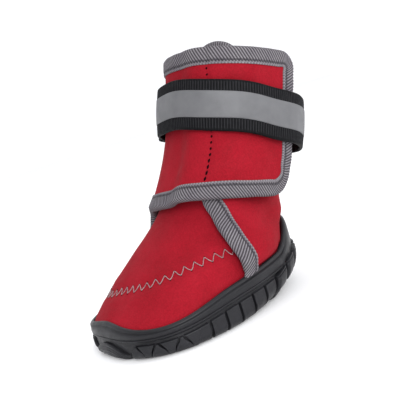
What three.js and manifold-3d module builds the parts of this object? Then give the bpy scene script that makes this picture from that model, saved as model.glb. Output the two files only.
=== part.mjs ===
// A dog's bootie, left foot: a neoprene upper with a wrap flap, a tongue, twill edge tape, a webbing
// strap and a moulded rubber cup sole. Millimetres, +Z up, the toe points to -Y, and +X is the near
// side, where the flap's free end lies. The bootie stands on its lugs on z = 0.
import * as THREE from "three";
import { mergeVertices } from "three/addons/utils/BufferGeometryUtils.js";
import Module from "manifold-3d";

const wasm = await Module();
wasm.setup();

// ---------------------------------------------------------------- driving sizes
const CLOTH = 2.0; // neoprene wall
const TAPE = 0.6; // twill edge tape, one leg
const TAPE_GAP = 0.25; // clearance of the tape's legs to the cloth
const TAPE_WIDTH = 6.0; // how far the tape reaches in from the edge
const FOLD_ROOM = 1.5; // the tape's fold stands this many times further off the edge than its legs
const GAP = 0.3; // clearance between separate pieces
const CUP_ROOM = 0.6; // clearance of the cup's hollow round the last
const BAND = 2.4; // rubber side band, thickness outside the upper
const TREAD = 3.2; // depth of the lugs
const FLOOR = 5.6; // top of the cup sole's floor
const INSOLE = 3.0;
const INSOLE_EDGE = -3.8; // the insole's edge, in from the sole line
const TOE_INSET = 1.6; // the tread's ground edge, in from the sole line, at the toe
const TOE_CURL = 3.4; // height where the tread turns vertical at the toe
const HEEL_INSET = 17; // how much more they are at the heel
const HEEL_CURL = 11.5;
const SOLE_MIDDLE = -6.5; // y of the sole line's middle
const SOLE_HALF = 43; // half the sole line's length
const VAMP_TOP = 0.56; // level where the toe piece ends and the tongue begins, under the flap
const TONGUE_ANGLE = 40; // half the tongue's width, in degrees round the last
const STRAP_WIDTH = 20;
const STRAP = 1.3; // webbing thickness
const AROUND = 48; // facets round the foot

const DEG = Math.PI / 180;

// The last's outer surface, a row for each section from the feather edge to the collar. A section
// is a closed curve from its front point to its back point, both on the centre plane.
// side is how far the section's centre lies to +X, square its superellipse exponent, and egg how
// much wider its front half is.
const LAST = [
  {
    level: -0.06, frontY: -48.8, frontZ: 8.9, backY: 36.0, backZ: 13.8,
    half: 32.4, side: 0, square: 2.5, egg: 0.14,
  },
  {
    level: 0.0, frontY: -49.6, frontZ: 12.6, backY: 36.5, backZ: 19.8,
    half: 33.0, side: 0, square: 2.5, egg: 0.14,
  },
  {
    level: 0.1, frontY: -43.0, frontZ: 17.8, backY: 39.8, backZ: 29.6,
    half: 31.4, side: 0, square: 2.4, egg: 0.12,
  },
  {
    level: 0.22, frontY: -32.8, frontZ: 26.0, backY: 41.5, backZ: 35.8,
    half: 28.2, side: 0, square: 2.3, egg: 0.08,
  },
  {
    level: 0.34, frontY: -21.0, frontZ: 34.8, backY: 42.5, backZ: 40.6,
    half: 25.6, side: 0, square: 2.2, egg: 0.0,
  },
  {
    level: 0.46, frontY: -7.6, frontZ: 46.0, backY: 43.2, backZ: 45.0,
    half: 24.6, side: 0, square: 2.2, egg: 0.0,
  },
  {
    level: 0.58, frontY: 5.0, frontZ: 64.0, backY: 46.8, backZ: 51.6,
    half: 23.8, side: 0.4, square: 2.2, egg: 0.0,
  },
  {
    level: 0.78, frontY: 12.9, frontZ: 84.4, backY: 54.6, backZ: 69.6,
    half: 22.9, side: 0.8, square: 2.2, egg: 0.0,
  },
  {
    level: 1.0, frontY: 19.6, frontZ: 103.2, backY: 62.0, backZ: 88.2,
    half: 22.2, side: 1.0, square: 2.2, egg: 0.0,
  },
];
const HEEL_RISE = 8.7; // the sole line climbs this much more over the back of the heel
const TOE_DIP = 2.0; // the sole line dips this much on each side of the toe bumper

const THROAT_TOP = 0.85; // the throat edges run straight up from this level
// The throat edges of the outer panel: the angle from the toe at each level, the same on both sides.
const THROAT = [
  { level: 0.0, angle: 97 },
  { level: 0.145, angle: 85.5 },
  { level: 0.275, angle: 74 },
  { level: 0.385, angle: 61 },
  { level: 0.47, angle: 46 },
  { level: 0.6, angle: 37 },
  { level: THROAT_TOP, angle: 34 },
];
// The flap's lower edge from the far side, over the front, to its end by the heel.
const FLAP_EDGE = [
  { angle: 310, level: 0.44 },
  { angle: 327, level: 0.45 },
  { angle: 358, level: 0.462 },
  { angle: 400, level: 0.46 },
  { angle: 447, level: 0.43 },
  { angle: 483, level: 0.345 },
];
const HEM = 0.015; // level where the throat edges meet the side band
const START = 34; // angle of the near throat edge at the collar
const FLAP_END = 360 + 123; // the flap's end, past the near side toward the heel
const CORNER = 6.6; // radius of the panel's outer corners

// How far the panel's inner face stands off the last along the flap, by angle, low and high up.
const FLAP_STANDS = [
  { angle: 300, low: 1.9, high: 1.3 },
  { angle: 370, low: 2.0, high: 1.5 },
  { angle: 388, low: 5.6, high: 4.2 },
  { angle: 400, low: 6.3, high: 4.5 },
  { angle: 420, low: 6.1, high: 4.0 },
  { angle: 436, low: 4.8, high: 3.6 },
  { angle: 455, low: 3.9, high: 3.3 },
  { angle: 470, low: 3.6, high: 3.6 },
  { angle: 483, low: 4.0, high: 4.4 },
];
// How far the strap's inner face stands off the last, by angle round the shaft.
const STRAP_STANDS = [
  { angle: -84, stand: 2.0 },
  { angle: -45, stand: 5.0 },
  { angle: 0, stand: 6.2 },
  { angle: 30, stand: 7.9 },
  { angle: 60, stand: 7.9 },
  { angle: 95, stand: 7.4 },
  { angle: 130, stand: 8.2 },
  { angle: 150, stand: 8.4 },
  { angle: 185, stand: 4.0 },
  { angle: 220, stand: 2.0 },
  { angle: 260, stand: 2.0 },
  { angle: 275, stand: 4.0 },
  { angle: 306, stand: 7.6 },
];
const STRAP_LEVEL = 0.735; // middle of the strap
const STRAP_TILT = 0.036; // how much higher its middle lies at the front, and lower at the back

// ---------------------------------------------------------------- small tools
const clamp01 = (t) => Math.min(1, Math.max(0, t));
const smooth = (a, b, x) => {
  const t = clamp01((x - a) / (b - a));
  return t * t * (3 - 2 * t);
};

// Cubic Hermite curve through a table's column, with slopes from the neighbouring rows.
function along(table, key, column, x) {
  const last = table.length - 1;
  let i = 0;
  while (i < last - 1 && x > table[i + 1][key]) i += 1;
  const slope = (k) => {
    const a = table[Math.max(0, k - 1)];
    const b = table[Math.min(last, k + 1)];
    return (b[column] - a[column]) / (b[key] - a[key]);
  };
  const width = table[i + 1][key] - table[i][key];
  const t = (x - table[i][key]) / width;
  if (t < 0) return table[0][column] + slope(0) * (x - table[0][key]);
  if (t > 1) return table[last][column] + slope(last) * (x - table[last][key]);
  const p0 = table[i][column];
  const p1 = table[i + 1][column];
  const m0 = slope(i) * width;
  const m1 = slope(i + 1) * width;
  return (
    p0 * (2 * t ** 3 - 3 * t ** 2 + 1) +
    m0 * (t ** 3 - 2 * t ** 2 + t) +
    p1 * (3 * t ** 2 - 2 * t ** 3) +
    m1 * (t ** 3 - t ** 2)
  );
}

// ---------------------------------------------------------------- the last
// angle is in degrees from the toe toward +X, level 0 at the sole line and 1 at the collar.
function lastPoint(angle, level) {
  const at = (column) => along(LAST, "level", column, level);
  const power = at("square");
  const sine = Math.sin(angle * DEG);
  const cosine = Math.cos(angle * DEG);
  const reach = (Math.abs(sine) ** power + Math.abs(cosine) ** power) ** (-1 / power);
  const x = reach * sine;
  const toToe = reach * cosine;
  const back = (1 - toToe) / 2;
  const dip = TOE_DIP * smooth(0.1, 0.9, toToe) * Math.abs(sine) ** 1.5 * 2;
  const waver = (HEEL_RISE * smooth(0.55, 1, -toToe) - dip) * (1 - smooth(0, 0.15, level));
  return new THREE.Vector3(
    at("side") + at("half") * x * (1 + at("egg") * toToe),
    at("frontY") + (at("backY") - at("frontY")) * back,
    at("frontZ") + (at("backZ") - at("frontZ")) * back + waver,
  );
}

function lastNormal(angle, level) {
  const round = lastPoint(angle + 0.5, level).sub(lastPoint(angle - 0.5, level));
  const up = lastPoint(angle, level + 0.004).sub(lastPoint(angle, level - 0.004));
  return round.cross(up).normalize();
}

const offLast = (angle, level, out) => lastPoint(angle, level).addScaledVector(lastNormal(angle, level), out);

// ---------------------------------------------------------------- meshes and solids
function meshOf(vertices, faces) {
  const geometry = new THREE.BufferGeometry();
  const coordinates = vertices.flatMap((v) => [v.x, v.y, v.z]);
  geometry.setAttribute("position", new THREE.Float32BufferAttribute(coordinates, 3));
  geometry.setIndex(faces.flat());
  return geometry;
}

// A closed skin over rings of equal counts: ring after ring, with a fan over the first and the last.
function loft(rings) {
  const count = rings[0].length;
  const vertices = rings.flat();
  const faces = [];
  for (let r = 0; r + 1 < rings.length; r += 1) {
    for (let i = 0; i < count; i += 1) {
      const j = (i + 1) % count;
      const a = r * count + i;
      const b = r * count + j;
      faces.push([a, b, b + count], [a, b + count, a + count]);
    }
  }
  for (const [ring, flip] of [[0, true], [rings.length - 1, false]]) {
    const middle = new THREE.Vector3();
    rings[ring].forEach((v) => middle.add(v));
    vertices.push(middle.divideScalar(count));
    for (let i = 0; i < count; i += 1) {
      const a = ring * count + i;
      const b = ring * count + ((i + 1) % count);
      faces.push(flip ? [b, a, vertices.length - 1] : [a, b, vertices.length - 1]);
    }
  }
  return meshOf(vertices, faces);
}

// A sheet with thickness: place(column, row, side) gives its points, side 0 inside and 1 outside.
function sheet(columns, rows, place) {
  const vertices = [];
  const at = (c, r, side) => (c * (rows + 1) + r) * 2 + side;
  for (let c = 0; c <= columns; c += 1) {
    for (let r = 0; r <= rows; r += 1) {
      vertices.push(place(c, r, 0), place(c, r, 1));
    }
  }
  const faces = [];
  const quad = (a, b, c, d) => faces.push([a, b, c], [a, c, d]);
  for (let c = 0; c < columns; c += 1) {
    for (let r = 0; r < rows; r += 1) {
      quad(at(c, r, 1), at(c + 1, r, 1), at(c + 1, r + 1, 1), at(c, r + 1, 1));
      quad(at(c, r, 0), at(c, r + 1, 0), at(c + 1, r + 1, 0), at(c + 1, r, 0));
    }
    quad(at(c, 0, 0), at(c + 1, 0, 0), at(c + 1, 0, 1), at(c, 0, 1));
    quad(at(c, rows, 0), at(c, rows, 1), at(c + 1, rows, 1), at(c + 1, rows, 0));
  }
  for (let r = 0; r < rows; r += 1) {
    quad(at(0, r, 0), at(0, r, 1), at(0, r + 1, 1), at(0, r + 1, 0));
    quad(at(columns, r, 0), at(columns, r + 1, 0), at(columns, r + 1, 1), at(columns, r, 1));
  }
  return meshOf(vertices, faces);
}

function solidOf(geometry) {
  const merged = mergeVertices(geometry, 1e-4);
  const solid = new wasm.Manifold(
    new wasm.Mesh({
      numProp: 3,
      vertProperties: merged.attributes.position.array,
      triVerts: new Uint32Array(merged.index.array),
    }),
  );
  if (solid.volume() < 0) throw new Error("a skin is inside out");
  return solid;
}

// The largest body of a cut solid, without crumbs.
function mainBody(solid, tolerance) {
  const bodies = solid.asOriginal().simplify(tolerance).decompose();
  bodies.sort((a, b) => b.volume() - a.volume());
  return bodies[0];
}

function geometryOf(solid) {
  const mesh = solid.getMesh();
  const geometry = new THREE.BufferGeometry();
  geometry.setAttribute("position", new THREE.Float32BufferAttribute(mesh.vertProperties, 3));
  geometry.setIndex([...mesh.triVerts]);
  return geometry;
}

// ---------------------------------------------------------------- the outer panel's cut
const throatAngle = (level) => along(THROAT, "level", "angle", Math.min(level, THROAT_TOP));

// The level of the throat edge at an angle between the collar's and the sole's.
function throatLevel(angle) {
  let low = 0;
  let high = THROAT_TOP;
  for (let i = 0; i < 30; i += 1) {
    const middle = (low + high) / 2;
    if (throatAngle(middle) > angle) low = middle;
    else high = middle;
  }
  return low;
}

// Millimetres to degrees and to levels at the flap's end, for its round corners.
const MM_PER_DEGREE = 0.52;
const MM_PER_LEVEL = 96; // along the shaft
const MM_PER_LOW_LEVEL = 50; // at the flap's lower corner, by the heel
function roundEnd(degrees, perLevel) {
  const inside = CORNER - degrees * MM_PER_DEGREE;
  return inside > 0 ? (CORNER - Math.sqrt(Math.max(0, CORNER ** 2 - inside ** 2))) / perLevel : 0;
}
// The panel's columns run up from the sole. The first follows the near throat edge, and the others
// straighten out behind it. column is the column's angle at the collar.
const STRAIGHT = 170;
const panelAngle = (column, level) =>
  column + (throatAngle(Math.max(level, HEM)) - START) * (1 - smooth(START, STRAIGHT, column));

const DROP_FROM = 33; // degrees behind the throat where the panel starts down into the cup sole
const DROP_TO = 38;
const hem = (behind) => HEM - (HEM + 0.06) * smooth(DROP_FROM, DROP_TO, behind);
function panelBottom(column) {
  const near = throatAngle(HEM);
  if (column < 180) return hem(panelAngle(column, HEM) - near);
  if (column < 360 - near) return hem(360 - near - column);
  const flap = along(FLAP_EDGE, "angle", "level", Math.max(column, FLAP_EDGE[0].angle));
  if (column > 360 - START) return flap + roundEnd(FLAP_END - column, MM_PER_LOW_LEVEL);
  // The far throat edge runs up into the flap's lower edge round a soft inner corner.
  const sharpness = 45;
  return flap - Math.log(1 + Math.exp((flap - throatLevel(360 - column)) * sharpness)) / sharpness;
}
const panelTop = (column) =>
  1 - roundEnd(FLAP_END - column, MM_PER_LEVEL) - roundEnd(column - START, MM_PER_LEVEL);

// How far the panel's inner face stands off the last: tucked in at the back, lifted over the toe
// piece at both throats, and out over the near quarter along the flap.
function panelStand(angle, level) {
  if (angle < 180) {
    const near = 1 - smooth(13, 26, angle - throatAngle(level));
    return near * (2.2 - 3.4 * smooth(0.52, 0.68, level)) - CLOTH * (1 - near);
  }
  const far = smooth(-26, -13, angle - 360 + Math.max(throatAngle(level), 48));
  const high = smooth(0.54, 0.7, level);
  const low = along(FLAP_STANDS, "angle", "low", Math.max(angle, 300));
  const top = along(FLAP_STANDS, "angle", "high", Math.max(angle, 300));
  return far * (low + (top - low) * high) - CLOTH * (1 - far);
}
const onPanel = (angle, level, out) => offLast(angle, level, panelStand(angle, level) + out);

// ---------------------------------------------------------------- pieces
// The panel's columns: close together round its corners.
const CORNER_STEPS = 4;
const cornerReach = (step) => (CORNER * (1 - Math.cos((step * Math.PI) / 2 / CORNER_STEPS))) / MM_PER_DEGREE;
const COLUMNS = [];
for (let step = 0; step <= CORNER_STEPS; step += 1) COLUMNS.push(START + cornerReach(step));
for (let column = START + 18; column < FLAP_END - 18; column += 9.6) COLUMNS.push(column);
for (let step = CORNER_STEPS; step >= 0; step -= 1) COLUMNS.push(FLAP_END - cornerReach(step));
// The panel's rows, as shares of the way from its lower edge to its top.
const ROW_SHARES = [0, 0.06, 0.13, 0.24, 0.36, 0.46, 0.54, 0.63, 0.8, 1];
const PANEL_ROWS = ROW_SHARES.length - 1;
const panelLevel = (column, row) =>
  panelBottom(column) + (panelTop(column) - panelBottom(column)) * ROW_SHARES[row];

// A step over a surface from a point on it: millimetres toward greater angle and toward the collar.
function stepOver(on, angle, level, round, up) {
  const perDegree = on(angle + 0.5, level, 1).sub(on(angle - 0.5, level, 1)).normalize();
  const perLevel = on(angle, level + 0.004, 1).sub(on(angle, level - 0.004, 1)).normalize();
  return perDegree.multiplyScalar(round).addScaledVector(perLevel, up);
}
const edgeSign = (i, last) => (i === 0 ? -1 : i === last ? 1 : 0);

// A point this many millimetres in from a path's edge, over the cloth: {angle, level} again. The
// cloth lies on the right of the path, seen from outside; on(angle, level, out) is its surface.
function insetPoint(path, i, on, across) {
  const { angle, level } = path[i];
  const before = path[Math.max(0, i - 1)];
  const after = path[Math.min(path.length - 1, i + 1)];
  const forward = on(after.angle, after.level, 1).sub(on(before.angle, before.level, 1)).normalize();
  const perDegree = on(angle + 0.5, level, 1).sub(on(angle - 0.5, level, 1));
  const perLevel = on(angle, level + 0.005, 1).sub(on(angle, level - 0.005, 1)).multiplyScalar(100);
  const inward = forward.clone().cross(perDegree.clone().cross(perLevel)).normalize();
  // Solve for the step in angle and level that moves one millimetre inward.
  const aa = perDegree.dot(perDegree);
  const ll = perLevel.dot(perLevel);
  const al = perDegree.dot(perLevel);
  const ia = inward.dot(perDegree);
  const il = inward.dot(perLevel);
  const det = aa * ll - al * al;
  return {
    angle: angle + (across * (ia * ll - il * al)) / det,
    level: level + (across * (il * aa - ia * al)) / det,
  };
}

// The panel's near, lower and upper edges as rows of {angle, level}, moved in over the cloth.
function panelEdges(across) {
  const point = (column, level) => ({ angle: panelAngle(column, level), level });
  const near = ROW_SHARES.map((_, r) => point(START, panelLevel(START, r)));
  const lower = COLUMNS.map((column) => point(column, panelBottom(column)));
  const top = COLUMNS.map((column) => point(column, panelTop(column)));
  if (across === 0) return { near, lower, top };
  const moved = (path) => path.map((_, i) => insetPoint(path, i, onPanel, across));
  return { near: moved(near), lower: moved(lower.reverse()).reverse(), top: moved(top) };
}

// The outer panel, made thicker and wider all round by room for its edge tape's slot.
function panel(room) {
  const { near, lower, top } = panelEdges(-FOLD_ROOM * room);
  return sheet(COLUMNS.length - 1, PANEL_ROWS, (c, r, side) => {
    const between = lower[c].level + (top[c].level - lower[c].level) * ROW_SHARES[r];
    const level = c === 0 ? near[r].level : between;
    const bend = panelAngle(COLUMNS[c], level);
    const slip = (edge) => edge[c].angle - panelAngle(COLUMNS[c], edge[c].level);
    const slid = slip(lower) * (1 - ROW_SHARES[r]) + slip(top) * ROW_SHARES[r];
    const angle = c === 0 ? near[r].angle : bend + slid;
    return onPanel(angle, level, side ? CLOTH + room : -room);
  });
}

function upper() {
  // The toe and instep piece, tucked under the panel on both sides.
  const levels = [-0.06, -0.02, 0.02, 0.08, 0.15, 0.23, 0.31, 0.38, 0.43, 0.47, 0.515, VAMP_TOP];
  const columns = 20;
  const toe = sheet(columns, levels.length - 1, (c, r, side) => {
    const level = levels[r];
    const reach = throatAngle(Math.max(level, 0)) + 30 - 8 * smooth(0.02, 0.3, level);
    return offLast(-reach + (2 * reach * c) / columns, level, (side - 1) * CLOTH);
  });
  return mainBody(solidOf(panel(0)).add(solidOf(toe)), 0.04);
}

// The tongue carries on from the toe piece's top, leaning back inside the collar, with a round top.
function onTongue(angle, level, out) {
  const back = lastPoint(180, level).sub(lastPoint(0, level)).normalize();
  const lean = 1.2 * smooth(VAMP_TOP, VAMP_TOP + 0.03, level) + 25 * Math.max(0, level - VAMP_TOP);
  return offLast(angle, level, out).addScaledVector(back, lean);
}
const tongueTop = (across) => 0.99 + 0.085 * Math.sqrt(Math.max(0, 1 - across ** 2));
const TONGUE_COLUMNS = 12;
const TONGUE_ROWS = 8;
const tongueAcross = (column) => -Math.cos((Math.PI * column) / TONGUE_COLUMNS);
function tongue(room) {
  return sheet(TONGUE_COLUMNS, TONGUE_ROWS, (c, r, side) => {
    const across = tongueAcross(c);
    const angle = TONGUE_ANGLE * across;
    const low = VAMP_TOP + 0.006;
    const level = low + ((tongueTop(across) - low) * r) / TONGUE_ROWS;
    const point = onTongue(angle, level, side ? room : -CLOTH - room);
    const round = FOLD_ROOM * room * edgeSign(c, TONGUE_COLUMNS);
    const up = FOLD_ROOM * room * edgeSign(r, TONGUE_ROWS);
    return point.add(stepOver(onTongue, angle, level, round, up));
  });
}

// A ring round the last at a level, off its surface.
function lastRing(level, out) {
  const ring = [];
  for (let i = 0; i < AROUND; i += 1) ring.push(offLast((i * 360) / AROUND, level, out));
  return ring;
}

// The level of a row of {angle, level} points at an angle.
function levelAt(row, angle) {
  let i = 0;
  while (i < row.length - 2 && angle > row[i + 1].angle) i += 1;
  const t = clamp01((angle - row[i].angle) / (row[i + 1].angle - row[i].angle));
  return row[i].level + (row[i + 1].level - row[i].level) * t;
}

// The edge tape: the panel thickened by the tape, less the panel with the slot's clearance, less
// everything further in than the tape's width, and less the part that would go into the cup.
function edgeTape(cloth) {
  const { near, lower, top } = panelEdges(TAPE_WIDTH);
  const nearAngle = (level) => {
    let r = 0;
    while (r < PANEL_ROWS - 1 && level > near[r + 1].level) r += 1;
    const t = (level - near[r].level) / (near[r + 1].level - near[r].level);
    return near[r].angle + (near[r + 1].angle - near[r].angle) * Math.min(t, 1);
  };
  const from = START + TAPE_WIDTH / MM_PER_DEGREE;
  const to = FLAP_END - TAPE_WIDTH / MM_PER_DEGREE;
  const columns = [from, ...COLUMNS.filter((column) => column > from + 3 && column < to - 2), to];
  const inCup = (column) => column < 360 - throatAngle(HEM);
  const core = sheet(columns.length - 1, PANEL_ROWS, (c, r, side) => {
    // The rows are the panel's own, kept between the two inner edges.
    const low = inCup(columns[c]) ? -0.1 : levelAt(lower, columns[c]);
    const high = levelAt(top, columns[c]);
    const own = r === 0 ? low : Math.max(panelLevel(columns[c], r), low + 0.001 * r);
    const level = r === PANEL_ROWS ? high : Math.min(own, high - 0.001 * (PANEL_ROWS - r));
    const angle = c === 0 ? nearAngle(level) : panelAngle(columns[c], level);
    return onPanel(angle, level, side ? CLOTH + 1.1 : -1.1);
  });
  const foot = loft([lastRing(-0.2, 6), lastRing(0.025, 6)]);
  let tape = solidOf(panel(TAPE_GAP + TAPE));
  for (const away of [panel(TAPE_GAP), core, foot]) tape = tape.subtract(solidOf(away));
  return mainBody(mainBody(tape, 0.06).subtract(cloth), 0.001);
}

function tongueTape() {
  const edge = [];
  for (let c = 0; c <= TONGUE_COLUMNS; c += 1) {
    edge.push({ angle: TONGUE_ANGLE * tongueAcross(c), level: tongueTop(tongueAcross(c)) });
  }
  const inner = edge.map((_, i) => insetPoint(edge, i, onTongue, TAPE_WIDTH));
  const core = sheet(TONGUE_COLUMNS, TONGUE_ROWS, (c, r, side) => {
    const outer = edgeSign(c, TONGUE_COLUMNS) * (TONGUE_ANGLE + 8);
    const low = VAMP_TOP - 0.04;
    const level = low + ((inner[c].level - low) * r) / TONGUE_ROWS;
    return onTongue(outer || inner[c].angle, level, side ? 2 : -CLOTH - 2);
  });
  const whole = solidOf(tongue(TAPE_GAP + TAPE)).subtract(solidOf(tongue(TAPE_GAP)));
  return mainBody(whole.subtract(solidOf(core)), 0.08);
}

// The webbing goes once round the shaft, and its end laps over its start on the far side.
function strap() {
  const columns = 46;
  const [from, to] = [STRAP_STANDS[0].angle, STRAP_STANDS.at(-1).angle];
  const half = STRAP_WIDTH / 2 / MM_PER_LEVEL;
  return sheet(columns, 2, (c, r, side) => {
    const angle = from + ((to - from) * c) / columns;
    const stand = along(STRAP_STANDS, "angle", "stand", angle);
    const middle = STRAP_LEVEL + STRAP_TILT * Math.cos(angle * DEG);
    return offLast(angle, middle + half * (r - 1), stand + side * STRAP);
  });
}

// ---------------------------------------------------------------- the cup sole
// A point beside the sole line: out is measured in plan, and height gives z from the line's own.
function besideSole(angle, out, height) {
  const here = lastPoint(angle, 0);
  const ahead = lastPoint(angle + 1, 0).sub(lastPoint(angle - 1, 0));
  const outward = new THREE.Vector3(ahead.y, -ahead.x, 0).normalize();
  return here.clone().addScaledVector(outward, out).setZ(height(here.z));
}

// The tread leaves the ground in a quarter ellipse, tight round the toe and sides and wide at the
// heel: how far in from the sole line it leaves, and how high up the side it ends.
function rocker(angle) {
  const toToe = (lastPoint(angle, 0).y - SOLE_MIDDLE) / -SOLE_HALF;
  const curl = smooth(-0.18, 1, -toToe);
  return { inset: TOE_INSET + HEEL_INSET * curl, height: TOE_CURL + HEEL_CURL * curl };
}
function treadPoint(angle, turn) {
  const { inset, height } = rocker(angle);
  const phi = (turn * Math.PI) / 2;
  return besideSole(angle, (inset + BAND + 0.4) * Math.sin(phi) - inset, () => height * (1 - Math.cos(phi)));
}
// The underside of the cup between the lugs, and its floor inside.
function baseHeight(angle, out) {
  const { inset, height } = rocker(angle);
  const reach = clamp01((out + inset + 0.6) / (inset + BAND - 0.6));
  return TREAD + (height + 2.4 - TREAD) * (1 - Math.sqrt(1 - reach ** 2));
}
const floorHeight = (angle, out) => Math.max(FLOOR, baseHeight(angle, out) + 2.0);
const grooveHeight = (line) => 0.62 * line;

function soleRing(out, height) {
  const ring = [];
  for (let i = 0; i < AROUND; i += 1) {
    const angle = (i * 360) / AROUND;
    ring.push(besideSole(angle, out, (line) => height(line, angle)));
  }
  return ring;
}
// A ring on the cup's underside, a share of the way out over the rocker.
function baseRing(share) {
  const ring = [];
  for (let i = 0; i < AROUND; i += 1) {
    const angle = (i * 360) / AROUND;
    const from = -rocker(angle).inset - 0.6;
    const out = from + (BAND - 1.2 - from) * share;
    ring.push(besideSole(angle, out, () => baseHeight(angle, out)));
  }
  return ring;
}

const floorRing = (out, up) => soleRing(out, (line, angle) => floorHeight(angle, out) + up);

function outsole() {
  const block = loft([
    baseRing(0),
    baseRing(0.5),
    baseRing(0.8),
    baseRing(1),
    soleRing(BAND - 1.3, (line) => grooveHeight(line) - 0.2),
    soleRing(BAND, (line) => grooveHeight(line) + 0.5),
    soleRing(BAND - 0.1, (line) => line - 1.4),
    soleRing(BAND - 0.8, (line) => line),
    soleRing(GAP, (line) => line - 0.2),
  ]);
  // The hollow follows the last, so that the upper's foot stands in it with a clearance.
  const hollow = loft([
    floorRing(-16, 0),
    floorRing(-8, 0),
    floorRing(INSOLE_EDGE, 0),
    floorRing(-0.6, 0.2),
    lastRing(-0.06, CUP_ROOM),
    lastRing(-0.03, CUP_ROOM),
    lastRing(0, CUP_ROOM),
    lastRing(0.05, CUP_ROOM),
    lastRing(0.12, CUP_ROOM),
    lastRing(0.3, CUP_ROOM),
  ]);
  let solid = solidOf(block).subtract(solidOf(hollow));
  for (const lug of edgeLugs()) solid = solid.add(solidOf(edgeLug(lug)));
  for (const y of BAR_PLACES) {
    for (const side of [-1, 1]) solid = solid.add(solidOf(barLug(side, y)));
  }
  return mainBody(solid, 0.06);
}

// The lugs round the edge, a row for each kind from the toe to the heel, both sides alike. start
// and stop are places up the profile: -1 is inboard on the ground, 0 the ground's edge, 1 the top of
// the rocker and 2 just under the groove.
const EDGE_LUGS = [
  { kind: "toe", count: 1, pitch: 29, gap: 1.4, rows: [{ start: -1, stop: 1.95 }] },
  { kind: "chevron", count: 3, pitch: 9.6, gap: 2.6, rows: [{ start: -0.7, stop: 1.7 }] },
  { kind: "pad", count: 6, pitch: 7.2, gap: 1.2, rows: [{ start: -0.8, stop: 1.95 }] },
  {
    kind: "heel",
    count: 5,
    pitch: 9.6,
    gap: 2.1,
    rows: [{ start: 0.04, stop: 0.5 }, { start: 0.6, stop: 1.1 }, { start: 1.3, stop: 1.95 }],
  },
];

// Angles round the sole by distance along its edge from the toe's middle.
function edgeAngle(distance) {
  let gone = 0;
  const step = 0.5;
  for (let angle = 0; angle < 180; angle += step) {
    const length = besideSole(angle + step, BAND, () => 0).distanceTo(besideSole(angle, BAND, () => 0));
    if (gone + length > distance) return angle + (step * (distance - gone)) / length;
    gone += length;
  }
  return 180;
}

function edgeLugs() {
  const lugs = [];
  let place = -EDGE_LUGS[0].pitch / 2;
  for (const { kind, count, pitch, gap, rows } of EDGE_LUGS) {
    for (let i = 0; i < count; i += 1) {
      const from = kind === "toe" ? -edgeAngle(pitch / 2 - gap / 2) : edgeAngle(place + gap / 2);
      const to = edgeAngle(place + pitch - gap / 2);
      for (const { start, stop } of rows) {
        if (to > from + 2) lugs.push({ from, to, start, stop });
        if (to > from + 2 && kind !== "toe" && to < 180) lugs.push({ from: -to, to: -from, start, stop });
      }
      place += pitch;
    }
  }
  return lugs;
}

function edgeLug({ from, to, start, stop }) {
  const columns = Math.max(1, Math.round((to - from) / 12));
  const stations = [start, ...[0, 0.5, 1].filter((s) => s > start + 0.05 && s < stop - 0.05), stop];
  return sheet(columns, stations.length - 1, (c, r, side) => {
    const angle = from + ((to - from) * c) / columns;
    const { inset, height } = rocker(angle);
    const place = stations[r];
    if (place <= 0) {
      const out = -inset + 8 * place;
      return besideSole(angle, side ? out : out - 0.6, () => (side ? 0 : TREAD + 0.7));
    }
    if (place <= 1) {
      if (side) return treadPoint(angle, place);
      const out = -inset - 0.6 + (inset + BAND - 0.6) * Math.sin((place * Math.PI) / 2) - 0.5;
      return besideSole(angle, out, () => baseHeight(angle, out) + 0.7);
    }
    const rim = (line) => height + (Math.max(height + 1, grooveHeight(line) - 0.9) - height) * (place - 1);
    return besideSole(angle, side ? BAND + 0.4 : BAND - 2.1, rim);
  });
}

// Shallow V bars under the middle of the sole. The one at the origin is what the part rests on.
const BAR_PLACES = [-29, -19, -9, 1, 11];
function barLug(side, y) {
  const shape = new THREE.Shape();
  const [inner, outer, length, slant] = [-0.4, 15.5, 5.6, 4.0];
  shape.moveTo(side * inner, y - slant);
  shape.lineTo(side * outer, y);
  shape.lineTo(side * outer, y + length);
  shape.lineTo(side * inner, y + length - slant);
  shape.closePath();
  const bar = new THREE.ExtrudeGeometry(shape, { depth: TREAD + 0.8, bevelEnabled: false });
  bar.deleteAttribute("normal");
  bar.deleteAttribute("uv");
  return bar;
}

function insole() {
  return loft([
    floorRing(-16, GAP),
    floorRing(-8, GAP),
    floorRing(INSOLE_EDGE, GAP),
    floorRing(INSOLE_EDGE, INSOLE),
    floorRing(-8, GAP + INSOLE),
    floorRing(-16, GAP + INSOLE),
  ]);
}

const part = new THREE.Group();
function addPiece(name, geometry, colour, roughness) {
  const material = new THREE.MeshStandardMaterial({ color: colour, roughness, metalness: 0 });
  const mesh = new THREE.Mesh(geometry, material);
  mesh.name = name;
  part.add(mesh);
}

addPiece("outsole", geometryOf(outsole()), 0x3a393d, 0.55);
addPiece("insole", insole(), 0x2b2b2e, 0.9);
const cloth = upper();
addPiece("upper", geometryOf(cloth), 0xb01f30, 0.85);
addPiece("tongue", tongue(0), 0xb01f30, 0.85);
addPiece("edge_binding", geometryOf(edgeTape(cloth)), 0x87828a, 0.8);
addPiece("tongue_binding", geometryOf(tongueTape()), 0x87828a, 0.8);
addPiece("strap", strap(), 0x242428, 0.7);

export default part;
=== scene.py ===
import math

import bpy
import numpy as np
from mathutils import Matrix, Vector


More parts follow.
